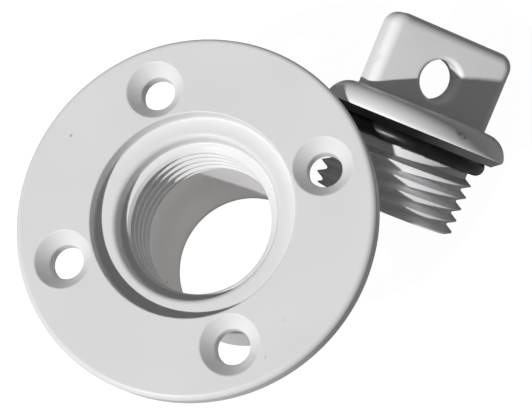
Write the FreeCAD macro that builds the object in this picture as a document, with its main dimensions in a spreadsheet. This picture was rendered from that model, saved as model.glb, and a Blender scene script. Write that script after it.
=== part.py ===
import FreeCAD, Part
import math
import os
import Sketcher
from FreeCAD import Vector, Rotation, Placement

# Drain fitting for a boat: socket flange, screw plug and seal ring.
# Row frame: millimetres, +Z along the socket's bore towards its front face,
# origin on the bore's axis at the sleeve's lower end; both halves stand or lie
# on z = 0. The screw holes lie on X and Y.

doc = FreeCAD.newDocument("drain_plug")

# ---------------------------------------------------------------- sizes
SIZES = [
    # socket flange
    ("flange_dia", 55.0), ("plate_thick", 4.0), ("flange_height", 38.0),
    ("rim_round", 0.9), ("rim_back_round", 0.6), ("plate_root", 0.8),
    ("recess_dia", 31.2), ("recess_depth", 2.4), ("recess_edge", 0.3),
    ("seat_dia", 24.8), ("seat_depth", 5.0), ("seat_round", 0.8),
    ("socket_minor", 21.7), ("socket_major", 24.1), ("socket_thread_len", 10.0),
    ("thread_lead_in", 0.5), ("bore_dia", 24.8), ("bore_blend", 1.2),
    ("sleeve_dia", 27.4), ("sleeve_chamfer", 0.4),
    ("hole_circle", 41.2), ("hole_dia", 5.2), ("sink_dia", 8.9), ("sink_deep", 2.0),
    # screw plug, measured from the collar's sharp lower edge
    ("collar_dia", 30.4), ("collar_band", 0.4), ("collar_top", 3.5),
    ("dome_flat_rad", 11.5), ("dome_arc_rad", 4.0),
    ("lip_rad", 13.7), ("lip_deep", 1.2), ("groove_deep", 0.45),
    ("neck_rad", 9.95), ("shoulder_deep", 3.5),
    ("plug_minor", 21.3), ("plug_major", 23.9), ("pitch", 2.0), ("plug_deep", 13.8),
    ("core_dia", 16.0), ("core_roof", 1.5),
    ("tab_width", 22.0), ("tab_thick", 5.6), ("tab_top", 16.4), ("tab_corner", 2.5),
    ("tab_front_round", 1.8), ("tab_back_round", 0.6),
    ("tab_hole_dia", 6.7), ("tab_hole_up", 8.5), ("tab_hole_round", 0.8),
    # seal ring
    ("ring_mid_rad", 11.45), ("ring_cord_rad", 1.42), ("ring_down", 2.06),
    # where the plug lies
    ("plug_px", 8.7), ("plug_py", -34.8), ("plug_heading", -43.5), ("plug_roll", 34.3),
    ("plug_contact", 13.2),
]
sheet = doc.addObject("Spreadsheet::Sheet", "sizes")
for i, (name, value) in enumerate(SIZES):
    cell = "B%d" % (i + 1)
    sheet.set("A%d" % (i + 1), name)
    sheet.set(cell, repr(value))
    sheet.setAlias(cell, name)
doc.recompute()
S = dict(SIZES)


def plane(body, role):
    for f in body.Origin.OriginFeatures:
        if f.Role == role:
            return f
    raise RuntimeError(role)


def new_body(name):
    body = doc.addObject("PartDesign::Body", name)
    body.Label = name
    return body


def new_sketch(body, name, role, offset=None):
    sk = body.newObject("Sketcher::SketchObject", name)
    sk.AttachmentSupport = [(plane(body, role), "")]
    sk.MapMode = "FlatFace"
    if offset is not None:
        sk.AttachmentOffset = offset
    doc.recompute()
    return sk


def value(expr):
    """Number for an expression made of sheet names."""
    out = expr
    for k in sorted(S, key=len, reverse=True):
        out = out.replace("sizes." + k, "(%r)" % S[k])
    q = FreeCAD.Units.Quantity(out)
    return float(q.Value)


def outline(sk, pts, arcs=None):
    """Closed outline; each point is a pair of expressions. arcs: {side index:
    (radius expression, centre guess)} makes that side an arc of a circle."""
    arcs = arcs or {}
    xy = [(value(a), value(b)) for a, b in pts]
    n = len(xy)
    flip = {}
    for i in range(n):
        p, q = xy[i], xy[(i + 1) % n]
        if i in arcs:
            cx, cy = arcs[i][1]
            rad = value(arcs[i][0])
            a0 = math.atan2(p[1] - cy, p[0] - cx)
            a1 = math.atan2(q[1] - cy, q[0] - cx)
            ccw = (a1 - a0) % (2 * math.pi) < math.pi
            circ = Part.Circle(Vector(cx, cy, 0), Vector(0, 0, 1), rad)
            if ccw:
                sk.addGeometry(Part.ArcOfCircle(circ, a0, a1), False)
            else:
                sk.addGeometry(Part.ArcOfCircle(circ, a1, a0), False)
            flip[i] = not ccw
        else:
            sk.addGeometry(Part.LineSegment(Vector(p[0], p[1], 0), Vector(q[0], q[1], 0)), False)
            flip[i] = False
    def start(i):
        return 2 if flip[i] else 1
    def end(i):
        return 1 if flip[i] else 2
    for i in range(n):
        j = (i + 1) % n
        sk.addConstraint(Sketcher.Constraint("Coincident", i, end(i), j, start(j)))
    for i, (a, b) in enumerate(pts):
        for kind, ex, val, axis in (("DistanceX", a, xy[i][0], -2), ("DistanceY", b, xy[i][1], -1)):
            if abs(val) < 1e-9:
                sk.addConstraint(Sketcher.Constraint("PointOnObject", i, start(i), axis))
                continue
            c = sk.addConstraint(Sketcher.Constraint(kind, -1, 1, i, start(i), val))
            if "sizes." in ex:
                sk.setExpression("Constraints[%d]" % c, ex)
    for i in arcs:
        c = sk.addConstraint(Sketcher.Constraint("Radius", i, value(arcs[i][0])))
        sk.setExpression("Constraints[%d]" % c, arcs[i][0])
    doc.recompute()


def edges_where(shape, test):
    names = []
    for i, e in enumerate(shape.Edges):
        try:
            if test(e):
                names.append("Edge%d" % (i + 1))
        except Exception:
            pass
    return names


def ring_edge(radius, z, tol=1e-3):
    def test(e):
        return (e.Curve.TypeId == "Part::GeomCircle" and abs(e.Curve.Radius - radius) < tol
                and abs(e.Curve.Center.z - z) < tol
                and math.hypot(e.Curve.Center.x, e.Curve.Center.y) < tol)
    return test


def fillet(body, name, base, tests, expr):
    names = []
    for t in tests:
        found = edges_where(base.Shape, t)
        if not found:
            raise RuntimeError("no edge for " + name)
        names += found
    f = body.newObject("PartDesign::Fillet", name)
    f.Base = (base, names)
    f.Radius = value(expr)
    f.setExpression("Radius", expr)
    doc.recompute()
    return f


# ---------------------------------------------------------------- socket flange
flange = new_body("socket_flange")
H = "sizes.flange_height"
sk = new_sketch(flange, "flange_profile", "XZ_Plane")
outline(sk, [
    ("sizes.bore_dia / 2", "0"),
    ("sizes.sleeve_dia / 2 - sizes.sleeve_chamfer", "0"),
    ("sizes.sleeve_dia / 2", "sizes.sleeve_chamfer"),
    ("sizes.sleeve_dia / 2", H + " - sizes.plate_thick"),
    ("sizes.flange_dia / 2", H + " - sizes.plate_thick"),
    ("sizes.flange_dia / 2", H),
    ("sizes.recess_dia / 2", H),
    ("sizes.recess_dia / 2", H + " - sizes.recess_depth"),
    ("sizes.seat_dia / 2", H + " - sizes.recess_depth"),
    ("sizes.seat_dia / 2", H + " - sizes.seat_depth"),
    ("sizes.socket_minor / 2 + sizes.thread_lead_in", H + " - sizes.seat_depth"),
    ("sizes.socket_minor / 2", H + " - sizes.seat_depth - sizes.thread_lead_in"),
    ("sizes.socket_minor / 2", H + " - sizes.seat_depth - sizes.socket_thread_len"),
    ("sizes.bore_dia / 2", H + " - sizes.seat_depth - sizes.socket_thread_len - sizes.bore_blend"),
])
rev = flange.newObject("PartDesign::Revolution", "flange_turned")
rev.Profile = sk
rev.ReferenceAxis = (sk, ["V_Axis"])
rev.Angle = 360.0
doc.recompute()

fh = S["flange_height"]
base = fillet(flange, "rim_front", rev, [ring_edge(S["flange_dia"] / 2, fh)], "sizes.rim_round")
base = fillet(flange, "rim_back", base, [ring_edge(S["flange_dia"] / 2, fh - S["plate_thick"])], "sizes.rim_back_round")
base = fillet(flange, "recess_lip", base, [ring_edge(S["recess_dia"] / 2, fh)], "sizes.recess_edge")
base = fillet(flange, "seat_lip", base, [ring_edge(S["seat_dia"] / 2, fh - S["recess_depth"])], "sizes.seat_round")
base = fillet(flange, "plate_root_blend", base, [ring_edge(S["sleeve_dia"] / 2, fh - S["plate_thick"])], "sizes.plate_root")

# one screw hole, turned from its own half profile, then repeated four times
sk = new_sketch(flange, "screw_hole_profile", "XZ_Plane")
outline(sk, [
    ("sizes.hole_circle / 2", H + " - sizes.plate_thick - 1"),
    ("sizes.hole_circle / 2 + sizes.hole_dia / 2", H + " - sizes.plate_thick - 1"),
    ("sizes.hole_circle / 2 + sizes.hole_dia / 2", H + " - sizes.sink_deep"),
    ("sizes.hole_circle / 2 + sizes.sink_dia / 2", H),
    ("sizes.hole_circle / 2 + sizes.sink_dia / 2", H + " + 1"),
    ("sizes.hole_circle / 2", H + " + 1"),
])
hole = flange.newObject("PartDesign::Groove", "screw_hole")
hole.Profile = sk
ax = sk.addGeometry(Part.LineSegment(Vector(S["hole_circle"] / 2, fh - 6, 0), Vector(S["hole_circle"] / 2, fh + 3, 0)), True)
sk.addConstraint(Sketcher.Constraint("Vertical", ax))
sk.addConstraint(Sketcher.Constraint("PointOnObject", ax, 1, 5))
doc.recompute()
hole.ReferenceAxis = (sk, ["Axis0"])
hole.Angle = 360.0
doc.recompute()
holes = flange.newObject("PartDesign::PolarPattern", "screw_holes")
holes.Originals = [hole]
holes.Axis = (sk, ["V_Axis"])
holes.Angle = 360.0
holes.Occurrences = 4
flange.Tip = holes
doc.recompute()

# internal screw thread, cut as a right-hand helix that runs out at both ends
sk = new_sketch(flange, "socket_thread_profile", "XZ_Plane")
low = H + " - sizes.seat_depth - sizes.socket_thread_len - 1.6"
outline(sk, [
    ("sizes.socket_minor / 2 - 0.3", low + " - 0.95"),
    ("sizes.socket_major / 2", low + " - 0.1"),
    ("sizes.socket_major / 2", low + " + 0.1"),
    ("sizes.socket_minor / 2 - 0.3", low + " + 0.95"),
])
thr = flange.newObject("PartDesign::SubtractiveHelix", "socket_thread")
thr.Profile = sk
thr.ReferenceAxis = (sk, ["V_Axis"])
thr.Mode = 0
thr.Pitch = S["pitch"]
thr.setExpression("Pitch", "sizes.pitch")
thr.Height = S["socket_thread_len"] + 2.6
thr.setExpression("Height", "sizes.socket_thread_len + 2.6")
thr.LeftHanded = False
thr.Reversed = False
flange.Tip = thr
doc.recompute()

# ---------------------------------------------------------------- screw plug
plug = new_body("screw_plug")
sk = new_sketch(plug, "plug_profile", "XZ_Plane")
# centre of the dome's arc, from its two ends and its radius
ax0, ay0 = S["collar_dia"] / 2, S["collar_band"]
ax1, ay1 = S["dome_flat_rad"], S["collar_top"]
chord = math.hypot(ax1 - ax0, ay1 - ay0)
back = math.sqrt(S["dome_arc_rad"] ** 2 - chord ** 2 / 4)
arc_cx = (ax0 + ax1) / 2 - (ay1 - ay0) / chord * back
arc_cy = (ay0 + ay1) / 2 + (ax1 - ax0) / chord * back
outline(sk, [
    ("0", "-sizes.core_roof"),
    ("sizes.core_dia / 2", "-sizes.core_roof"),
    ("sizes.core_dia / 2", "-sizes.plug_deep"),
    ("sizes.plug_minor / 2", "-sizes.plug_deep"),
    ("sizes.plug_minor / 2", "-sizes.shoulder_deep"),
    ("sizes.neck_rad", "-sizes.shoulder_deep"),
    ("sizes.neck_rad", "-sizes.groove_deep"),
    ("sizes.lip_rad", "-sizes.groove_deep"),
    ("sizes.lip_rad", "-sizes.lip_deep"),
    ("sizes.collar_dia / 2", "0"),
    ("sizes.collar_dia / 2", "sizes.collar_band"),
    ("sizes.dome_flat_rad", "sizes.collar_top"),
    ("0", "sizes.collar_top"),
], arcs={10: ("sizes.dome_arc_rad", (arc_cx, arc_cy))})
rev = plug.newObject("PartDesign::Revolution", "plug_turned")
rev.Profile = sk
rev.ReferenceAxis = (sk, ["V_Axis"])
rev.Angle = 360.0
doc.recompute()

# tab handle: rounded outline padded both ways from the axis plane
sk = new_sketch(plug, "tab_outline", "XZ_Plane")
w, top, c = S["tab_width"] / 2, S["tab_top"], S["tab_corner"]
outline(sk, [
    ("-sizes.tab_width / 2", "sizes.collar_top - 0.5"),
    ("sizes.tab_width / 2", "sizes.collar_top - 0.5"),
    ("sizes.tab_width / 2", "sizes.tab_top - sizes.tab_corner"),
    ("sizes.tab_width / 2 - sizes.tab_corner", "sizes.tab_top"),
    ("-sizes.tab_width / 2 + sizes.tab_corner", "sizes.tab_top"),
    ("-sizes.tab_width / 2", "sizes.tab_top - sizes.tab_corner"),
], arcs={2: ("sizes.tab_corner", (w - c, top - c)), 4: ("sizes.tab_corner", (-w + c, top - c))})
pad = plug.newObject("PartDesign::Pad", "tab")
pad.Profile = sk
pad.SideType = "Symmetric"
pad.Length = S["tab_thick"]
pad.setExpression("Length", "sizes.tab_thick")
doc.recompute()

# round the tab's edges, widely round its front face and less round its back face
half = S["tab_thick"] / 2


def face_edges(y):
    def test(e):
        a, b = e.ParameterRange
        pts = [e.valueAt(a + (b - a) * k / 4.0) for k in range(5)]
        return all(abs(p.y - y) < 1e-3 for p in pts) and max(p.z for p in pts) > S["collar_top"] + 1.0
    return test


base = fillet(plug, "tab_front_rounding", pad, [face_edges(-half)], "sizes.tab_front_round")
base = fillet(plug, "tab_back_rounding", base, [face_edges(half)], "sizes.tab_back_round")

sk = new_sketch(plug, "tab_hole_outline", "XZ_Plane")
g = sk.addGeometry(Part.Circle(Vector(0, S["tab_hole_up"], 0), Vector(0, 0, 1), S["tab_hole_dia"] / 2), False)
sk.addConstraint(Sketcher.Constraint("PointOnObject", g, 3, -2))
k = sk.addConstraint(Sketcher.Constraint("DistanceY", -1, 1, g, 3, S["tab_hole_up"]))
sk.setExpression("Constraints[%d]" % k, "sizes.tab_hole_up")
k = sk.addConstraint(Sketcher.Constraint("Radius", g, S["tab_hole_dia"] / 2))
sk.setExpression("Constraints[%d]" % k, "sizes.tab_hole_dia / 2")
doc.recompute()
cut = plug.newObject("PartDesign::Pocket", "tab_hole")
cut.Profile = sk
cut.SideType = "Symmetric"
cut.Length = S["tab_thick"] + 2
cut.setExpression("Length", "sizes.tab_thick + 2")
doc.recompute()


def hole_rim(e):
    return (e.Curve.TypeId == "Part::GeomCircle" and abs(e.Curve.Radius - S["tab_hole_dia"] / 2) < 1e-3
            and abs(abs(e.Curve.Center.y) - half) < 1e-3)


base = fillet(plug, "tab_hole_rim", cut, [hole_rim], "sizes.tab_hole_round")

# external screw thread, added as a right-hand helix and trimmed at the end face
sk = new_sketch(plug, "plug_thread_profile", "XZ_Plane")
low = "-sizes.plug_deep - 1.35"
outline(sk, [
    ("sizes.plug_minor / 2 - 0.3", low + " - 0.95"),
    ("sizes.plug_major / 2", low + " - 0.1"),
    ("sizes.plug_major / 2", low + " + 0.1"),
    ("sizes.plug_minor / 2 - 0.3", low + " + 0.95"),
])
thr = plug.newObject("PartDesign::AdditiveHelix", "plug_thread")
thr.Profile = sk
thr.ReferenceAxis = (sk, ["V_Axis"])
thr.Mode = 0
thr.Pitch = S["pitch"]
thr.setExpression("Pitch", "sizes.pitch")
thr.Height = S["plug_deep"] + 1.35 - S["shoulder_deep"] - 1.15
thr.setExpression("Height", "sizes.plug_deep + 1.35 - sizes.shoulder_deep - 1.15")
thr.LeftHanded = False
thr.Reversed = False
plug.Tip = thr
doc.recompute()
sk = new_sketch(plug, "end_trim_profile", "XZ_Plane")
outline(sk, [
    ("0", "-sizes.plug_deep - 5"),
    ("sizes.plug_major / 2 + 1", "-sizes.plug_deep - 5"),
    ("sizes.plug_major / 2 + 1", "-sizes.plug_deep"),
    ("0", "-sizes.plug_deep"),
])
trim = plug.newObject("PartDesign::Groove", "end_trim")
trim.Profile = sk
trim.ReferenceAxis = (sk, ["V_Axis"])
trim.Angle = 360.0
plug.Tip = trim
doc.recompute()

# ---------------------------------------------------------------- seal ring
ring = doc.addObject("Part::Torus", "o_ring")
ring.Label = "o_ring"
ring.Radius1 = S["ring_mid_rad"]
ring.Radius2 = S["ring_cord_rad"]
ring.setExpression("Radius1", "sizes.ring_mid_rad")
ring.setExpression("Radius2", "sizes.ring_cord_rad")
doc.recompute()

# ---------------------------------------------------------------- resting places
# The loose plug lies on its collar's rim and on the end of its thread.
tilt = math.atan2(S["collar_dia"] / 2 - S["plug_major"] / 2, S["plug_contact"])
head = math.radians(S["plug_heading"])
roll = math.radians(S["plug_roll"])
up = Vector(math.cos(tilt) * math.cos(head), math.cos(tilt) * math.sin(head), math.sin(tilt))
side = up.cross(Vector(0, 0, 1))
side.normalize()
other = up.cross(side)
x_dir = side * math.cos(roll) + other * math.sin(roll)
y_dir = up.cross(x_dir)
at = Vector(S["plug_px"], S["plug_py"], S["collar_dia"] / 2 * math.cos(tilt))
m = FreeCAD.Matrix(x_dir.x, y_dir.x, up.x, at.x,
                   x_dir.y, y_dir.y, up.y, at.y,
                   x_dir.z, y_dir.z, up.z, at.z,
                   0, 0, 0, 1)
place = Placement(m)
plug.Placement = place
ring.Placement = place.multiply(Placement(Vector(0, 0, -S["ring_down"]), Rotation()))
flange.Placement = Placement()
doc.recompute()

# ---------------------------------------------------------------- checks and files
for o in doc.Objects:
    bad = [s for s in o.State if s in ("Invalid", "Error")]
    if bad:
        raise RuntimeError("%s: %s" % (o.Name, bad))
os.makedirs("parts", exist_ok=True)
for o in (flange, plug, ring):
    shp = o.Shape
    if shp.isNull() or not shp.isValid():
        raise RuntimeError("bad shape: " + o.Label)
    print("%s volume %.1f solids %d box %s" % (o.Label, shp.Volume, len(shp.Solids), shp.BoundBox))
    shp.exportStep(os.path.join("parts", o.Label + ".step"))
print("overlap plug/ring %.4f" % plug.Shape.common(ring.Shape).Volume)
print("overlap plug/flange %.4f" % plug.Shape.common(flange.Shape).Volume)
print("distance plug/flange %.3f" % plug.Shape.distToShape(flange.Shape)[0])
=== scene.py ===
import math

import bmesh
import bpy
import numpy as np
from mathutils import Matrix, Vector
from mathutils.geometry import delaunay_2d_cdt


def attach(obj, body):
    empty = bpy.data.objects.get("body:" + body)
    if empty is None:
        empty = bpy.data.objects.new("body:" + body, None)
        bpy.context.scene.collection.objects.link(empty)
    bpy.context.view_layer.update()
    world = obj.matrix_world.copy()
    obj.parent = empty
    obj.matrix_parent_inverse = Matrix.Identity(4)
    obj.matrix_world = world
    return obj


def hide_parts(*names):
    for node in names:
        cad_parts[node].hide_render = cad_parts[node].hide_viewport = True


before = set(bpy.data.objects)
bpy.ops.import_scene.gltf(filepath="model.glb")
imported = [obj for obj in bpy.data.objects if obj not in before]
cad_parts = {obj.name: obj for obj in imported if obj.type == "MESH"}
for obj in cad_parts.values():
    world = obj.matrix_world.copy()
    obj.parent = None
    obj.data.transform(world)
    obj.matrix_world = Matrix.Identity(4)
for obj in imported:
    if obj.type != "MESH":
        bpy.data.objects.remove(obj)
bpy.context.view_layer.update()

MM = 0.001
TAU = 2 * math.pi
N = 256                      # columns round each turned shape

# sizes in millimetres, as in the CAD
FLANGE_R, PLATE, HIGH = 27.5, 4.0, 38.0
RECESS_R, RECESS_D, SEAT_R, SEAT_D = 15.6, 2.4, 12.4, 5.0
S_MINOR, S_MAJOR, S_LEN, BORE_R, BORE_BLEND = 10.85, 12.05, 10.0, 12.4, 1.2
SLEEVE_R, HOLE_C, HOLE_R, SINK_R, SINK_D = 13.7, 20.6, 2.6, 4.45, 2.0
COLLAR_R, BAND, COLLAR_T, DOME_R, DOME_ARC = 15.2, 0.4, 3.5, 11.5, 4.0
LIP_R, LIP_D, GROOVE_D, NECK_R, SHOULDER_D = 13.7, 1.2, 0.45, 9.95, 3.5
P_MINOR, P_MAJOR, PITCH, PLUG_D, CORE_R, CORE_ROOF = 10.65, 11.95, 2.0, 13.8, 8.0, 1.5
TAB_W, TAB_T, TAB_TOP, TAB_C, TAB_HR, TAB_HU, TAB_HE = 11.0, 2.8, 16.4, 2.5, 3.35, 8.5, 0.8
TAB_F, TAB_B = 1.8, 0.6           # edge rounds of the tab's front and back
RING_R, RING_C, RING_DOWN = 11.45, 1.42, 2.06


# ---------------------------------------------------------------- mesh helpers
class Build:
    """Collects points (mm) and faces, then makes one closed object."""

    def __init__(self):
        self.v, self.f = [], []

    def ring(self, pts):
        i = len(self.v)
        self.v += [tuple(p) for p in pts]
        return list(range(i, i + len(pts)))

    def strip(self, a, b, closed=True):
        """Faces between two rows of the same length; normals follow a -> b x along."""
        n = len(a)
        for i in range(n if closed else n - 1):
            j = (i + 1) % n
            self.f.append((a[i], a[j], b[j], b[i]))

    def flat(self, loops, keep, z=0.0, up=True, to3=None):
        """Fills a flat region bounded by closed loops of existing point numbers.
        keep(x, y) says whether a triangle's middle is inside."""
        idx = [i for loop in loops for i in loop]
        if to3 is None:
            def flat2(p):
                return Vector((p[0], p[1]))
        else:
            flat2 = to3
        co = [flat2(self.v[i]) for i in idx]
        edges, k = [], 0
        for loop in loops:
            n = len(loop)
            edges += [(k + i, k + (i + 1) % n) for i in range(n)]
            k += n
        out = delaunay_2d_cdt(co, edges, [], 0, 1e-7)
        vs, _, tris, ov = out[0], out[1], out[2], out[3]
        back = []
        for j, src in enumerate(ov):
            if src:
                back.append(idx[src[0]])
            else:
                raise RuntimeError("a new point in a flat region")
        for t in tris:
            x = sum(vs[i][0] for i in t) / 3
            y = sum(vs[i][1] for i in t) / 3
            if keep(x, y):
                a, b, c = (back[i] for i in t)
                pa, pb, pc = vs[t[0]], vs[t[1]], vs[t[2]]
                area = (pb[0] - pa[0]) * (pc[1] - pa[1]) - (pb[1] - pa[1]) * (pc[0] - pa[0])
                if (area > 0) != up:
                    a, b = b, a
                self.f.append((a, b, c))

    def make(self, name, place=None, sharp=32.0):
        me = bpy.data.meshes.new(name)
        me.from_pydata(self.v, [], self.f)
        bm = bmesh.new()
        bm.from_mesh(me)
        bmesh.ops.remove_doubles(bm, verts=bm.verts, dist=0.0004)
        bmesh.ops.dissolve_degenerate(bm, edges=bm.edges, dist=0.00001)
        loose = [v for v in bm.verts if not v.link_faces]
        if loose:
            bmesh.ops.delete(bm, geom=loose, context="VERTS")
        bmesh.ops.recalc_face_normals(bm, faces=bm.faces)
        open_edges = sum(1 for e in bm.edges if len(e.link_faces) != 2)
        vol = bm.calc_volume(signed=True)
        if vol < 0:
            bmesh.ops.reverse_faces(bm, faces=bm.faces)
        print("MESH %s verts %d faces %d open_edges %d volume %.1f" % (name, len(bm.verts), len(bm.faces), open_edges, abs(vol)))
        m = Matrix.Scale(MM, 4)
        if place is not None:
            m = m @ place
        bmesh.ops.transform(bm, matrix=m, verts=bm.verts)
        for f in bm.faces:
            f.smooth = True
        bm.to_mesh(me)
        bm.free()
        me.set_sharp_from_angle(angle=math.radians(sharp))
        me.validate()
        me.update()
        ob = bpy.data.objects.new(name, me)
        bpy.context.scene.collection.objects.link(ob)
        return ob


def circle(r, z, n=N, cx=0.0, cy=0.0, off=0.0):
    return [(cx + r * math.cos(TAU * i / n + off), cy + r * math.sin(TAU * i / n + off), z) for i in range(n)]


def arc(cx, cz, rad, a0, a1, steps):
    """Points of an arc in the (r, z) half plane, angles in degrees."""
    return [(cx + rad * math.cos(math.radians(a0 + (a1 - a0) * k / steps)),
             cz + rad * math.sin(math.radians(a0 + (a1 - a0) * k / steps))) for k in range(steps + 1)]


def inside_limit(r, n=N):
    """Radius that parts the triangles inside an n-sided circle from those outside it."""
    return r * (math.cos(math.pi / n) + (1 + 2 * math.cos(TAU / n)) / 3) / 2


def lathe(b, prof, n=N):
    """Rings for each (r, z) of an open profile, joined by strips; gives first and last ring."""
    rings = [b.ring(circle(r, z, n)) for r, z in prof]
    for a, c in zip(rings, rings[1:]):
        b.strip(a, c)
    return rings[0], rings[-1]


def helix_wall(b, radius, z_lo, z_hi, phases, pitch, n=N):
    """A wall from z_lo to z_hi whose rows follow a right-hand helix.
    radius(turn angle, phase, z) is the wall's radius; phases are fractions of a pitch."""
    cols = []
    first = math.floor(z_lo / pitch) - 2
    last = math.ceil(z_hi / pitch) + 1
    for j in range(n + 1):
        th = TAU * j / n
        col = []
        for t in range(first, last + 1):
            for u in phases:
                z = pitch * (t + u + j / n)
                zc = min(max(z, z_lo), z_hi)
                turn = t + u + j / n
                # the phase at the clamped height, so that cut ends keep the thread's section
                uc = (zc / pitch - j / n)
                r = radius(th, uc - math.floor(uc + 1e-9), zc, turn)
                col.append((r * math.cos(th), r * math.sin(th), zc))
        cols.append(col)
    rings = [b.ring(c) for c in cols]
    m = len(cols[0])
    for j in range(n):
        for i in range(m - 1):
            a, c, d, e = rings[j][i], rings[j + 1][i], rings[j + 1][i + 1], rings[j][i + 1]
            za, zc_, zd, ze = (b.v[k][2] for k in (a, c, d, e))
            if max(za, zc_, zd, ze) - min(za, zc_, zd, ze) < 1e-7:
                continue
            b.f.append((a, c, d, e))
    low = [(radius(TAU * j / n, (z_lo / pitch - j / n) % 1.0, z_lo, None) * math.cos(TAU * j / n),
            radius(TAU * j / n, (z_lo / pitch - j / n) % 1.0, z_lo, None) * math.sin(TAU * j / n), z_lo) for j in range(n)]
    high = [(radius(TAU * j / n, (z_hi / pitch - j / n) % 1.0, z_hi, None) * math.cos(TAU * j / n),
             radius(TAU * j / n, (z_hi / pitch - j / n) % 1.0, z_hi, None) * math.sin(TAU * j / n), z_hi) for j in range(n)]
    return b.ring(low), b.ring(high)


def ease(x):
    x = min(max(x, 0.0), 1.0)
    return x * x * (3 - 2 * x)


def ridge(d, full, crest=0.10, base=0.79, soft=0.22):
    """Height of a thread ridge at distance d (mm) along the axis from its crest."""
    if d <= crest:
        return full
    h = full * (1 - (d - crest) / (base - crest))
    # a rounded root instead of a sharp inner corner
    if h > soft:
        return h
    if h < -soft:
        return 0.0
    return (h + soft) ** 2 / (4 * soft)


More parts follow.
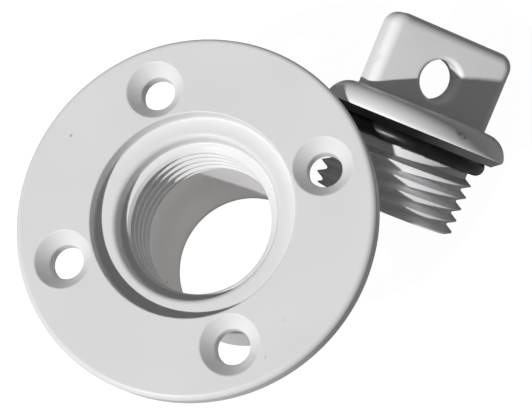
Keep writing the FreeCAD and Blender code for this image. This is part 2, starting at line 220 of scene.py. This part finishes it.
# ---------------------------------------------------------------- socket flange
def socket_flange():
    b = Build()
    back = HIGH - PLATE
    # sleeve: inner end edge, chamfer, outer wall, blend to the plate's back
    low = [(BORE_R, 0.0), (BORE_R + 0.12, 0.0), (SLEEVE_R - 0.45, 0.0), (SLEEVE_R - 0.4, 0.0)]
    prof = low + [(SLEEVE_R - 0.36, 0.03), (SLEEVE_R - 0.03, 0.36), (SLEEVE_R, 0.4), (SLEEVE_R, 0.6)]
    prof += [(SLEEVE_R, z) for z in (8.0, 16.0, 24.0, back - 1.0)]
    prof += arc(SLEEVE_R + 0.8, back - 0.8, 0.8, 180, 90, 7)
    prof += [(SLEEVE_R + 0.95, back)]
    sleeve_low, sleeve_top = lathe(b, prof)
    # rim: back round, side, front round
    prof = [(FLANGE_R - 0.75, back)] + arc(FLANGE_R - 0.6, back + 0.6, 0.6, -90, 0, 7)
    prof += [(FLANGE_R, back + 0.75), (FLANGE_R, HIGH - 1.05)]
    prof += arc(FLANGE_R - 0.9, HIGH - 0.9, 0.9, 0, 90, 10)
    prof += [(FLANGE_R - 1.05, HIGH)]
    rim_low, rim_top = lathe(b, prof)
    # recess, seat step and seat floor
    prof = [(RECESS_R + 0.28, HIGH)] + arc(RECESS_R + 0.25, HIGH - 0.25, 0.25, 90, 180, 6)
    prof += [(RECESS_R, HIGH - 0.6), (RECESS_R, HIGH - RECESS_D + 0.5)]
    prof += arc(RECESS_R - 0.35, HIGH - RECESS_D + 0.35, 0.35, 0, -90, 6)
    prof += [(RECESS_R - 0.5, HIGH - RECESS_D), (SEAT_R + 0.95, HIGH - RECESS_D)]
    prof += arc(SEAT_R + 0.8, HIGH - RECESS_D - 0.8, 0.8, 90, 180, 8)
    prof += [(SEAT_R, HIGH - RECESS_D - 0.95), (SEAT_R, HIGH - SEAT_D + 0.35)]
    prof += arc(SEAT_R - 0.25, HIGH - SEAT_D + 0.25, 0.25, 0, -90, 5)
    recess_top, seat_floor = lathe(b, prof)
    # threaded wall, its lead-in and its lower blend into the wide bore
    z_hi, z_lo = HIGH - SEAT_D, HIGH - SEAT_D - S_LEN - BORE_BLEND
    z_ref = HIGH - SEAT_D - S_LEN - 1.6

    def wall(th, u, z, turn):
        plain = S_MINOR
        if z > z_hi - 0.5:
            plain = S_MINOR + (z - z_hi + 0.5)
        elif z < z_lo + BORE_BLEND:
            plain = S_MINOR + (z_lo + BORE_BLEND - z) / BORE_BLEND * (BORE_R - S_MINOR)
        ph = (u - (z_ref / PITCH)) % 1.0
        d = min(ph, 1 - ph) * PITCH
        g = S_MINOR + ridge(d, S_MAJOR - S_MINOR, crest=0.10, base=0.79, soft=0.10)
        return max(plain, g)

    ref = (z_ref / PITCH) % 1.0
    steps = [0.0, 0.05, 0.11, 0.18, 0.25, 0.31, 0.36, 0.40, 0.45, 0.50, 0.55, 0.60, 0.64, 0.69, 0.75, 0.82, 0.89, 0.95]
    phases = sorted((ref + s) % 1.0 for s in steps)
    t_low, t_high = helix_wall(b, wall, z_lo, z_hi, phases, PITCH)
    b.strip(seat_floor, t_high)
    prof = [(BORE_R, z_lo - 0.15)] + [(BORE_R, z) for z in (16.0, 8.0, 0.5, 0.0)]
    bore_top, bore_low = lathe(b, prof)
    b.strip(t_low, bore_top)
    # four screw holes
    m = 72
    tops, backs = [], []
    lip = 0.40
    slope = math.atan2(SINK_D, SINK_R - HOLE_R)
    for k in range(4):
        cx, cy = HOLE_C * math.cos(k * math.pi / 2), HOLE_C * math.sin(k * math.pi / 2)
        # the cone's mouth is rounded over: arc tangent to the face and to the cone
        turn_a = slope
        run = lip * math.tan(turn_a / 2)
        a_cx, a_cz = SINK_R + run, HIGH - lip
        prof = [(SINK_R + run + 0.03, HIGH)]
        steps_ = 7
        for s in range(steps_ + 1):
            a = math.pi / 2 + turn_a * s / steps_
            prof.append((a_cx + lip * math.cos(a), a_cz + lip * math.sin(a)))
        # cone to the shaft hole with a soft inner edge
        soft = 0.22
        inner = (HOLE_R, HIGH - SINK_D)
        dx, dz = math.cos(slope), math.sin(slope)
        prof.append((inner[0] + dx * 0.45, inner[1] + dz * 0.45))
        for s in range(5):
            t = s / 4
            p0 = (inner[0] + dx * soft, inner[1] + dz * soft)
            p2 = (inner[0], inner[1] - soft)
            q = ((1 - t) ** 2 * p0[0] + 2 * t * (1 - t) * inner[0] + t * t * p2[0],
                 (1 - t) ** 2 * p0[1] + 2 * t * (1 - t) * inner[1] + t * t * p2[1])
            prof.append(q)
        prof += [(HOLE_R, HIGH - SINK_D - 0.5), (HOLE_R, back + 0.25), (HOLE_R, back + 0.12), (HOLE_R + 0.04, back + 0.04), (HOLE_R + 0.12, back), (HOLE_R + 0.25, back)]
        rings = [b.ring(circle(r, z, m, cx, cy)) for r, z in prof]
        for a, c in zip(rings, rings[1:]):
            b.strip(a, c)
        tops.append(rings[0])
        backs.append(rings[-1])

    def holes_clear(r_hole):
        def test(x, y):
            for k in range(4):
                cx, cy = HOLE_C * math.cos(k * math.pi / 2), HOLE_C * math.sin(k * math.pi / 2)
                if math.hypot(x - cx, y - cy) < r_hole:
                    return False
            return True
        return test

    clear_top = holes_clear(inside_limit(SINK_R + run + 0.03, m))
    clear_back = holes_clear(inside_limit(HOLE_R + 0.25, m))
    b.flat([rim_top, recess_top] + tops,
           lambda x, y: inside_limit(RECESS_R + 0.28) < math.hypot(x, y) and clear_top(x, y), up=True)
    b.flat([rim_low, sleeve_top] + backs,
           lambda x, y: inside_limit(SLEEVE_R + 0.95) < math.hypot(x, y) and clear_back(x, y), up=False)
    return b.make("socket_flange_skin")


# ---------------------------------------------------------------- the plug's resting place
tilt = math.atan2(COLLAR_R - P_MAJOR, 13.2)
head, roll = math.radians(-43.5), math.radians(34.3)
up = Vector((math.cos(tilt) * math.cos(head), math.cos(tilt) * math.sin(head), math.sin(tilt)))
side = up.cross(Vector((0, 0, 1))).normalized()
other = up.cross(side)
x_dir = side * math.cos(roll) + other * math.sin(roll)
y_dir = up.cross(x_dir)
at = Vector((8.7, -34.8, COLLAR_R * math.cos(tilt)))
PLACE = Matrix(((x_dir.x, y_dir.x, up.x, at.x), (x_dir.y, y_dir.y, up.y, at.y), (x_dir.z, y_dir.z, up.z, at.z), (0, 0, 0, 1)))


# ---------------------------------------------------------------- screw plug
def tab_outline(inset, steps=10):
    """Open outline of the tab from its right foot over the top to its left foot,
    moved inwards by inset: points (x, z) and outward normals."""
    w, top, c = TAB_W - inset, TAB_TOP - inset, TAB_C - inset
    foot = COLLAR_T
    pts = []
    for z in (foot, foot + 0.28, foot + 0.5, 7.0, 10.0, TAB_TOP - TAB_C):
        pts.append(((w, z), (1, 0)))
    for s in range(1, steps + 1):
        a = math.pi / 2 * s / steps
        pts.append(((w - c + c * math.cos(a), top - c + c * math.sin(a)), (math.cos(a), math.sin(a))))
    for x in (5.0, 0.0, -5.0):
        pts.append(((x, top), (0, 1)))
    for s in range(0, steps + 1):
        a = math.pi / 2 + math.pi / 2 * s / steps
        pts.append(((-(w - c) + c * math.cos(a), top - c + c * math.sin(a)), (math.cos(a), math.sin(a))))
    for z in (10.0, 7.0, foot + 0.5, foot + 0.28, foot):
        pts.append(((-w, z), (-1, 0)))
    return pts


def screw_plug():
    b = Build()
    # collar: dome, rim band, underside, lip, seal groove and neck
    ch = math.hypot(DOME_R - COLLAR_R, COLLAR_T - BAND)
    back = math.sqrt(DOME_ARC ** 2 - ch ** 2 / 4)
    cx = (COLLAR_R + DOME_R) / 2 - (COLLAR_T - BAND) / ch * back
    cz = (BAND + COLLAR_T) / 2 + (DOME_R - COLLAR_R) / ch * back
    a1 = math.degrees(math.atan2(COLLAR_T - cz, DOME_R - cx))
    a0 = math.degrees(math.atan2(BAND - cz, COLLAR_R - cx))
    prof = arc(cx, cz, DOME_ARC, a1, a0, 16)
    prof += [(COLLAR_R, 0.12), (COLLAR_R - 0.03, 0.04), (COLLAR_R - 0.10, -0.06)]
    prof += [(LIP_R + 0.12, -LIP_D + 0.11), (LIP_R + 0.02, -LIP_D), (LIP_R - 0.08, -LIP_D + 0.02), (LIP_R - 0.12, -LIP_D + 0.1)]
    prof += [(LIP_R - 0.12, -GROOVE_D - 0.15)] + arc(LIP_R - 0.27, -GROOVE_D - 0.15, 0.15, 0, 90, 4)
    prof += [(NECK_R + 0.3, -GROOVE_D)] + arc(NECK_R + 0.2, -GROOVE_D - 0.2, 0.2, 90, 180, 4)
    prof += [(NECK_R, -SHOULDER_D + 0.2)] + arc(NECK_R + 0.15, -SHOULDER_D + 0.15, 0.15, 180, 270, 4)
    dome_top, neck = lathe(b, prof)
    # threaded wall down to the end face
    z_hi, z_lo = -SHOULDER_D, -PLUG_D
    z_ref = -PLUG_D - 1.35
    full_end = 5.25 + 0.02

    def wall(th, u, z, turn):
        plain = P_MINOR
        if z > z_hi - 0.25:
            plain = P_MINOR - (z - z_hi + 0.25)
        ph = (u - z_ref / PITCH) % 1.0
        d = min(ph, 1 - ph) * PITCH
        # how many turns up the nearest crest lies, to fade its end
        t = (z - z_ref) / PITCH - th / TAU
        crest_turn = round(t) + th / TAU
        env = 1 - ease((crest_turn - (full_end - 0.16)) / 0.16)
        g = P_MINOR + ridge(d, P_MAJOR - P_MINOR, crest=0.07, base=0.82, soft=0.20) * env
        return max(plain, g) if z <= z_hi - 0.01 else plain

    ref = (z_ref / PITCH) % 1.0
    steps = [0.0, 0.035, 0.08, 0.14, 0.20, 0.26, 0.31, 0.36, 0.41, 0.455, 0.50, 0.545, 0.59, 0.64, 0.69, 0.74, 0.80, 0.86, 0.92, 0.965]
    phases = sorted((ref + s) % 1.0 for s in steps)
    t_low, t_high = helix_wall(b, wall, z_lo, z_hi, phases, PITCH)
    b.strip(neck, t_high)
    # end face and the moulded hollow
    prof = [(CORE_R + 0.6, -PLUG_D), (CORE_R + 0.35, -PLUG_D)] + arc(CORE_R + 0.3, -PLUG_D + 0.3, 0.3, 270, 180, 4)
    prof += [(CORE_R, -PLUG_D + 0.5), (CORE_R, -8.0), (CORE_R, -CORE_ROOF - 1.0)]
    prof += arc(CORE_R - 0.8, -CORE_ROOF - 0.8, 0.8, 0, 90, 6)
    prof += [(CORE_R - 1.2, -CORE_ROOF), (4.0, -CORE_ROOF), (1.5, -CORE_ROOF)]
    end_ring, roof = lathe(b, prof)
    b.strip(t_low, end_ring)
    mid = len(b.v)
    b.v.append((0.0, 0.0, -CORE_ROOF))
    for i in range(len(roof)):
        b.f.append((roof[i], roof[(i + 1) % len(roof)], mid))

    # tab: rounded edges swept round its outline, wide at the front (y = -T), narrow at the back
    q = 9
    front, rear = tab_outline(TAB_F), tab_outline(TAB_B)
    rows = []
    for k in range(2 * q + 1):
        if k <= q:
            a = -math.pi / 2 + math.pi / 2 * k / q
            core, e, yy = front, TAB_F, -TAB_T + TAB_F + TAB_F * math.sin(a)
        else:
            a = math.pi / 2 * (k - q) / q
            core, e, yy = rear, TAB_B, TAB_T - TAB_B + TAB_B * math.sin(a)
        rows.append([(p[0] + e * math.cos(a) * nrm[0], yy, p[1] + e * math.cos(a) * nrm[1]) for p, nrm in core])
        if k == q:
            rows.append([(p[0] + TAB_F * nrm[0], TAB_T - TAB_B, p[1] + TAB_F * nrm[1]) for p, nrm in front])
    # foot fillet: points near the foot flare out onto the dome's flat top
    f_r = 0.2
    n_core = len(front)

    def edge_round(y):
        return TAB_F if y < 0 else TAB_B

    rings = [b.ring(r) for r in rows]
    for a_, c_ in zip(rings, rings[1:]):
        # the lowest segment at each foot is left to the fillet
        for i in range(1, n_core - 2):
            b.f.append((a_[i], a_[i + 1], c_[i + 1], c_[i]))
    # foot outline at z = foot + 0.28, all round: right side column, back face, left side column, front face
    foot_z = COLLAR_T + 0.28
    outline = []
    for r in rows:                       # right foot, front to back
        outline.append(r[1])
    inner = [8.5, 6.5, 4.5, 2.5, 0.0, -2.5, -4.5, -6.5, -8.5]
    for x in [TAB_W - TAB_B - 0.15] + inner + [0.15 + TAB_B - TAB_W]:
        outline.append((x, TAB_T, foot_z))
    for r in reversed(rows):             # left foot, back to front
        outline.append(r[-2])
    for x in [0.15 + TAB_F - TAB_W] + inner[::-1] + [TAB_W - TAB_F - 0.15]:
        outline.append((x, -TAB_T, foot_z))
    # outward direction of each outline point in the plane
    cnt = len(outline)
    flare = []
    for i, p in enumerate(outline):
        e = edge_round(p[1])
        if abs(abs(p[1]) - TAB_T) < 1e-9 and abs(p[0]) < TAB_W - e + 1e-9:
            d = Vector((0, math.copysign(1, p[1])))
        else:
            ccx, ccy = math.copysign(TAB_W - e, p[0]), math.copysign(TAB_T - e, p[1])
            d = Vector((p[0] - ccx, p[1] - ccy if abs(p[1]) > TAB_T - e - 1e-9 else 0.0))
            d = d.normalized() if d.length > 1e-9 else Vector((math.copysign(1, p[0]), 0))
        flare.append(d)
    prev = b.ring(outline)
    first_outline = prev
    for k in range(1, 7):
        a = math.pi / 2 * k / 6
        ring = []
        for p, d in zip(outline, flare):
            o = f_r * (1 - math.cos(a))
            z = foot_z - 0.28 * math.sin(a)
            ring.append((p[0] + d[0] * o, p[1] + d[1] * o, z))
        cur = b.ring(ring)
        b.strip(prev, cur)
        prev = cur
    foot_ring = prev
    # the dome's flat top between its edge and the tab's foot
    foot_pts = [b.v[i] for i in foot_ring]

    def in_foot(x, y):
        e = edge_round(y)
        x, y = abs(x), abs(y)
        w_, t_ = TAB_W + f_r, TAB_T + f_r
        cxx, cyy = TAB_W - e, TAB_T - e
        if x > w_ or y > t_:
            return False
        if x > cxx and y > cyy:
            return math.hypot(x - cxx, y - cyy) < e + f_r - 1e-6
        return True

    keep_ring = []
    for i in foot_ring:
        keep_ring.append(i)
    # drop repeated points before filling
    clean = []
    for i in keep_ring:
        p = b.v[i]
        if clean and math.dist(p, b.v[clean[-1]]) < 1e-6:
            continue
        clean.append(i)
    if math.dist(b.v[clean[0]], b.v[clean[-1]]) < 1e-6:
        clean.pop()
    b.flat([dome_top, clean], lambda x, y: math.hypot(x, y) < DOME_R - 1e-4 and not in_foot(x, y), up=True)
    # broad faces with the lanyard hole
    m = 64
    for sgn in (-1, 1):
        row = rings[0] if sgn < 0 else rings[-1]
        loop = list(row[1:-1])
        base = [p for p in outline if abs(p[1] - sgn * TAB_T) < 1e-9 and abs(p[0]) < TAB_W - edge_round(sgn) - 1e-6]
        base.sort(key=lambda p: p[0])
        base_ids = b.ring(base)
        loop = loop + base_ids                     # right foot over the top to the left foot, then along the base
        hole = []
        for r_, y_ in [(TAB_HR + TAB_HE + 0.2, TAB_T), (TAB_HR + TAB_HE + 0.04, TAB_T)]:
            hole.append(b.ring([(r_ * math.cos(TAU * i / m), sgn * y_, TAB_HU + r_ * math.sin(TAU * i / m)) for i in range(m)]))
        for s in range(0, 11):
            a = math.pi / 2 * s / 10
            r_ = TAB_HR + TAB_HE - TAB_HE * math.sin(a)
            y_ = TAB_T - TAB_HE + TAB_HE * math.cos(a)
            hole.append(b.ring([(r_ * math.cos(TAU * i / m), sgn * y_, TAB_HU + r_ * math.sin(TAU * i / m)) for i in range(m)]))
        hole.append(b.ring([(TAB_HR * math.cos(TAU * i / m), 0.0, TAB_HU + TAB_HR * math.sin(TAU * i / m)) for i in range(m)]))
        for a_, c_ in zip(hole, hole[1:]):
            b.strip(a_, c_)

        def keep(x, z):
            if math.hypot(x, z - TAB_HU) < inside_limit(TAB_HR + TAB_HE + 0.2, m):
                return False
            return True

        b.flat([loop, hole[0]], keep, up=(sgn > 0), to3=lambda p: Vector((p[0], p[2])))
    return b.make("screw_plug_skin", PLACE)


def painted_shade_underside_skin():
    """The tapered underside between the collar's edge and the seal, as a closed skin of its own. It takes no key
    light, and its material paints shade on it: a dark grey tint that darkens to near black towards one side.
    """
    b = Build()
    top, low = (COLLAR_R - 0.08, -0.085), (LIP_R + 0.14, -LIP_D + 0.085)
    loop = [(top[0] - 0.05, top[1] + 0.065), (low[0] - 0.05, low[1] + 0.065), (LIP_R - 0.02, -LIP_D + 0.06),
            (LIP_R - 0.10, -LIP_D - 0.01), (LIP_R + 0.03, -LIP_D - 0.03), low, top]
    rings = [b.ring(circle(r, z, N)) for r, z in loop]
    for k in range(len(rings)):
        b.strip(rings[k], rings[(k + 1) % len(rings)])
    return b.make("collar_underside_painted_shade", PLACE, sharp=60)


def o_ring():
    b = Build()
    n, m = 192, 40
    rings = []
    for k in range(m):
        a = TAU * k / m
        r, z = RING_R + RING_C * math.cos(a), -RING_DOWN + RING_C * math.sin(a)
        rings.append(b.ring(circle(r, z, n)))
    for k in range(m):
        b.strip(rings[k], rings[(k + 1) % m])
    return b.make("o_ring_skin", PLACE, sharp=60)


# ---------------------------------------------------------------- materials
def new_material(name):
    m = bpy.data.materials.new(name)
    m.use_nodes = True
    nt = m.node_tree
    return m, nt, nt.nodes["Principled BSDF"]


def node(nt, kind, **kw):
    n = nt.nodes.new(kind)
    for k, v in kw.items():
        setattr(n, k, v)
    return n


def noise(nt, coord, scale, detail=2.0, rough=0.5):
    n = node(nt, "ShaderNodeTexNoise")
    n.inputs["Scale"].default_value = scale
    n.inputs["Detail"].default_value = detail
    n.inputs["Roughness"].default_value = rough
    nt.links.new(coord, n.inputs["Vector"])
    return n.outputs["Fac"]


def ramp(nt, fac, lo, hi, out_lo, out_hi):
    n = node(nt, "ShaderNodeMapRange")
    n.inputs["From Min"].default_value = lo
    n.inputs["From Max"].default_value = hi
    n.inputs["To Min"].default_value = out_lo
    n.inputs["To Max"].default_value = out_hi
    nt.links.new(fac, n.inputs["Value"])
    return n.outputs["Result"]


def mix(nt, fac, a, b_):
    n = node(nt, "ShaderNodeMix", data_type="RGBA")
    if isinstance(fac, (int, float)):
        n.inputs[0].default_value = fac
    else:
        nt.links.new(fac, n.inputs[0])
    for sock, val in ((n.inputs[6], a), (n.inputs[7], b_)):
        if isinstance(val, tuple):
            sock.default_value = val
        else:
            nt.links.new(val, sock)
    return n.outputs[2]


def spots(nt, coord, places):
    """Soft dots at fixed places on the part, in metres: (x, y, z, radius)."""
    total = None
    for x, y, z, r in places:
        d = node(nt, "ShaderNodeVectorMath", operation="DISTANCE")
        nt.links.new(coord, d.inputs[0])
        d.inputs[1].default_value = (x, y, z)
        f = ramp(nt, d.outputs["Value"], r * 0.45, r, 1.0, 0.0)
        if total is None:
            total = f
        else:
            a = node(nt, "ShaderNodeMath", operation="MAXIMUM")
            nt.links.new(total, a.inputs[0])
            nt.links.new(f, a.inputs[1])
            total = a.outputs[0]
    return total


def white_plastic(name, marks, tint=(0.83, 0.83, 0.84), fade=None, rough=(0.275, 0.295), level=0.5):
    m, nt, p = new_material(name)
    coord = node(nt, "ShaderNodeTexCoord").outputs["Object"]
    broad = noise(nt, coord, 60.0, 2.0)
    fine = noise(nt, coord, 300.0, 2.0, 0.5)
    a = tuple(tint) + (1.0,)
    d = tuple(c * 0.965 for c in tint) + (1.0,)
    col = mix(nt, ramp(nt, broad, 0.35, 0.65, 0.0, 1.0), a, d)
    # scattered dust-sized specks
    vor = node(nt, "ShaderNodeTexVoronoi")
    vor.inputs["Scale"].default_value = 95.0
    nt.links.new(coord, vor.inputs["Vector"])
    dust = ramp(nt, vor.outputs["Distance"], 0.012, 0.03, 0.10, 0.0)
    col = mix(nt, dust, col, (0.45, 0.43, 0.42, 1.0))
    for shade, places in marks:
        col = mix(nt, spots(nt, coord, places), col, shade)
    # painted shade: along fade[0], below fade[1] the colour becomes fade[3], blending back to the base colour by
    # fade[2]
    if fade:
        along = node(nt, "ShaderNodeVectorMath", operation="DOT_PRODUCT")
        nt.links.new(coord, along.inputs[0])
        along.inputs[1].default_value = fade[0]
        col = mix(nt, ramp(nt, along.outputs["Value"], fade[1], fade[2], 1.0, 0.0), col, fade[3])
    nt.links.new(col, p.inputs["Base Color"])
    nt.links.new(ramp(nt, fine, 0.3, 0.7, rough[0], rough[1]), p.inputs["Roughness"])
    p.inputs["Specular IOR Level"].default_value = level
    p.inputs["IOR"].default_value = 1.5
    bump = node(nt, "ShaderNodeBump")
    bump.inputs["Strength"].default_value = 0.008
    bump.inputs["Distance"].default_value = 0.00004
    nt.links.new(noise(nt, coord, 420.0, 3.0, 0.55), bump.inputs["Height"])
    nt.links.new(bump.outputs["Normal"], p.inputs["Normal"])
    return m


def black_rubber(name):
    m, nt, p = new_material(name)
    coord = node(nt, "ShaderNodeTexCoord").outputs["Object"]
    f = noise(nt, coord, 500.0, 4.0, 0.6)
    col = mix(nt, ramp(nt, f, 0.3, 0.7, 0.0, 1.0), (0.005, 0.005, 0.006, 1), (0.012, 0.012, 0.013, 1))
    nt.links.new(col, p.inputs["Base Color"])
    nt.links.new(ramp(nt, f, 0.3, 0.7, 0.30, 0.42), p.inputs["Roughness"])
    p.inputs["Specular IOR Level"].default_value = 0.35
    bump = node(nt, "ShaderNodeBump")
    bump.inputs["Strength"].default_value = 0.12
    bump.inputs["Distance"].default_value = 0.0001
    nt.links.new(noise(nt, coord, 1500.0, 3.0, 0.6), bump.inputs["Height"])
    nt.links.new(bump.outputs["Normal"], p.inputs["Normal"])
    return m


# ---------------------------------------------------------------- build
flange = socket_flange()
plug = screw_plug()
ring = o_ring()

# a dark skin laid over the collar's underside: painted shade
under = painted_shade_underside_skin()

# specks and smudges where the photograph shows them (x, y, z, radius)
flange_marks = [
    ((0.50, 0.49, 0.48, 1.0), [(0.01825, 0.01441, 0.038, 0.00030)]),
    ((0.28, 0.27, 0.26, 1.0), [(-0.0005, 0.01239, 0.01003, 0.00042), (0.00872, 0.00881, 0.03036, 0.00028)]),
    ((0.785, 0.775, 0.77, 1.0), [(-0.01969, -0.00855, 0.038, 0.00050)]),
    ((0.62, 0.61, 0.60, 1.0), [(-0.02392, -0.00451, 0.038, 0.00020), (-0.02416, -0.00443, 0.038, 0.00016)]),
]
plug_marks = [
    ((0.62, 0.61, 0.60, 1.0), [(0.00117, -0.04123, 0.02574, 0.0010), (0.0017, -0.04081, 0.02617, 0.0007)]),
    ((0.36, 0.35, 0.34, 1.0), [(0.0015, -0.04098, 0.02600, 0.0004), (0.00085, -0.04158, 0.02535, 0.0003)]),
    ((0.76, 0.755, 0.70, 1.0), [(0.01874, -0.03322, 0.02422, 0.0008), (0.01836, -0.03276, 0.02364, 0.0006)]),
]
x_dir = Vector((PLACE[0][0], PLACE[1][0], PLACE[2][0]))
mid = x_dir.dot(Vector((PLACE[0][3], PLACE[1][3], PLACE[2][3])) * MM)
flange.data.materials.append(white_plastic("white_plastic_flange", flange_marks, rough=(0.36, 0.39), level=0.25))
plug.data.materials.append(white_plastic("white_plastic_plug", plug_marks))
# painted shade: the underside skin is tinted dark grey and darkens to near black towards -x_dir, where its shade is
# deepest
under.data.materials.append(white_plastic("white_plastic_underside_painted_shade", [], tint=(0.33, 0.33, 0.33), fade=(x_dir, mid - 0.0050, mid + 0.0025, (0.015, 0.015, 0.015, 1.0))))
ring.data.materials.append(black_rubber("black_rubber"))
for ob, nd, sl in ((flange, "socket_flange", "white_plastic"), (plug, "screw_plug", "white_plastic"), (under, None, "white_plastic"), (ring, "o_ring", "black_rubber")):
    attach(ob, "root")
    if nd:
        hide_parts(nd)

# ---------------------------------------------------------------- floor, light, camera
me = bpy.data.meshes.new("floor")
me.from_pydata([(-3, -3, 0), (3, -3, 0), (3, 3, 0), (-3, 3, 0)], [], [(0, 1, 2, 3)])
floor = bpy.data.objects.new("floor", me)
bpy.context.scene.collection.objects.link(floor)
m, nt, p = new_material("pale_floor")
# a back-lit white table: bright to the eye, a plain matt surface to the light that it throws back
nt.nodes.remove(p)
out = next(n for n in nt.nodes if n.type == "OUTPUT_MATERIAL")
matt = node(nt, "ShaderNodeBsdfDiffuse")
matt.inputs["Color"].default_value = (0.30, 0.30, 0.30, 1)
faint = node(nt, "ShaderNodeBsdfDiffuse")
faint.inputs["Color"].default_value = (0.14, 0.14, 0.14, 1)
glow = node(nt, "ShaderNodeEmission")
glow.inputs["Color"].default_value = (1, 1, 1, 1)
glow.inputs["Strength"].default_value = 0.97
seen = node(nt, "ShaderNodeAddShader")
nt.links.new(faint.outputs[0], seen.inputs[0])
nt.links.new(glow.outputs[0], seen.inputs[1])
pick = node(nt, "ShaderNodeMixShader")
nt.links.new(node(nt, "ShaderNodeLightPath").outputs["Is Camera Ray"], pick.inputs[0])
nt.links.new(matt.outputs[0], pick.inputs[1])
nt.links.new(seen.outputs[0], pick.inputs[2])
nt.links.new(pick.outputs[0], out.inputs["Surface"])
me.materials.append(m)

world = bpy.data.worlds.new("studio")
world.use_nodes = True
bpy.context.scene.world = world
bg = world.node_tree.nodes["Background"]
bg.inputs["Color"].default_value = (1.0, 1.0, 1.0, 1)
bg.inputs["Strength"].default_value = 0.125


def towards(az, el):
    a, e = math.radians(az), math.radians(el)
    return Vector((math.cos(e) * math.cos(a), math.cos(e) * math.sin(a), math.sin(e)))


def key_light(name, az, el, strength, lit, blockers=None):
    li = bpy.data.lights.new(name, "SUN")
    li.angle = math.radians(2.4)
    li.energy = strength
    ob = bpy.data.objects.new(name, li)
    ob.location = towards(az, el) * 1.2
    ob.rotation_euler = towards(az, el).to_track_quat("Z", "Y").to_euler()
    bpy.context.scene.collection.objects.link(ob)
    on = bpy.data.collections.new(name + "_on")
    for o in lit:
        on.objects.link(o)
    ob.light_linking.receiver_collection = on
    if blockers:
        by = bpy.data.collections.new(name + "_by")
        for o in blockers:
            by.objects.link(o)
        ob.light_linking.blocker_collection = by
    return ob


# one key light for each half. In the photograph the disc's edge shades the near end of the plug,
# and a card, which only the plug's light sees, does that here.
L2 = towards(108.2, 42.6)
E1 = Vector((0, 0, 1)).cross(L2).normalized()
E2 = L2.cross(E1)
edge = [(-10.5, 33.2), (-9.2, 35.6), (-8.45, 36.8), (-8.0, 37.45), (-7.65, 37.9), (-7.3, 38.2), (-6.82, 38.7), (-5.55, 39.25), (-4.0, 39.7), (-2.3, 39.95), (-0.7, 39.95), (1.6, 39.8),
        (4.6, 39.2), (6.8, 38.05), (9.4, 36.9), (11.9, 35.5), (14.3, 34.1), (16.3, 32.8), (19.0, 30.6), (22.0, 27.6), (22.0, 5.0), (-10.5, 5.0)]
me = bpy.data.meshes.new("card")
me.from_pydata([(E1 * u1 + E2 * v1 + L2 * 2.5) * MM for u1, v1 in edge], [], [list(range(len(edge)))])
card = bpy.data.objects.new("card", me)
bpy.context.scene.collection.objects.link(card)
for flag in ("visible_camera", "visible_diffuse", "visible_glossy", "visible_transmission", "visible_volume_scatter"):
    setattr(card, flag, False)

key_light("key_flange", 124.0, 54.0, 2.82, [flange, floor], [flange, plug, ring, floor])
key_light("key_plug", 108.2, 42.6, 3.6, [plug, ring], [plug, ring, card])

# soft warm light that comes up the drain bore from the ground under it
lit = bpy.data.collections.new("ground_glow_on")
lit.objects.link(flange)
for k, (size, height, power) in enumerate(((0.024, 0.0004, 0.00054), (0.012, 0.014, 0.00025))):
    li = bpy.data.lights.new("ground_glow_%d" % k, "AREA")
    li.shape = "DISK"
    li.size = size
    li.energy = power
    li.color = (1.0, 0.94, 0.86)
    glow_lamp = bpy.data.objects.new("ground_glow_%d" % k, li)
    glow_lamp.location = (0, 0, height)
    glow_lamp.rotation_euler = (math.pi, 0, 0)
    glow_lamp.visible_camera = False
    glow_lamp.visible_glossy = False
    bpy.context.scene.collection.objects.link(glow_lamp)
    glow_lamp.light_linking.receiver_collection = lit

# camera at the photograph's viewing angle
F_PX = 1399.825
C = np.array([-11.064, 0.758, 205.842])
nx, ny, cam_roll = -0.214, -0.251, 5.063
nz = -math.sqrt(1 - nx * nx - ny * ny)
nv = np.array([nx, ny, nz])
u = np.cross([0, 1, 0], nv); u /= np.linalg.norm(u)
v = np.cross(nv, u)
cr, sr = math.cos(cam_roll), math.sin(cam_roll)
R = np.stack([cr * u + sr * v, -sr * u + cr * v, nv], 1)
pos = (-C @ R + np.array([0, 0, HIGH])) * MM
right, down, fwd = R[0], R[1], R[2]
cam_data = bpy.data.cameras.new("camera")
cam_data.sensor_width = 36.0
cam_data.lens = F_PX * 36.0 / 532.0
cam_data.clip_start, cam_data.clip_end = 0.01, 20.0
cam = bpy.data.objects.new("camera", cam_data)
cam.matrix_world = Matrix(((right[0], -down[0], -fwd[0], pos[0]), (right[1], -down[1], -fwd[1], pos[1]), (right[2], -down[2], -fwd[2], pos[2]), (0, 0, 0, 1)))
bpy.context.scene.collection.objects.link(cam)
bpy.context.scene.camera = cam
bpy.context.scene.view_settings.view_transform = "Standard"
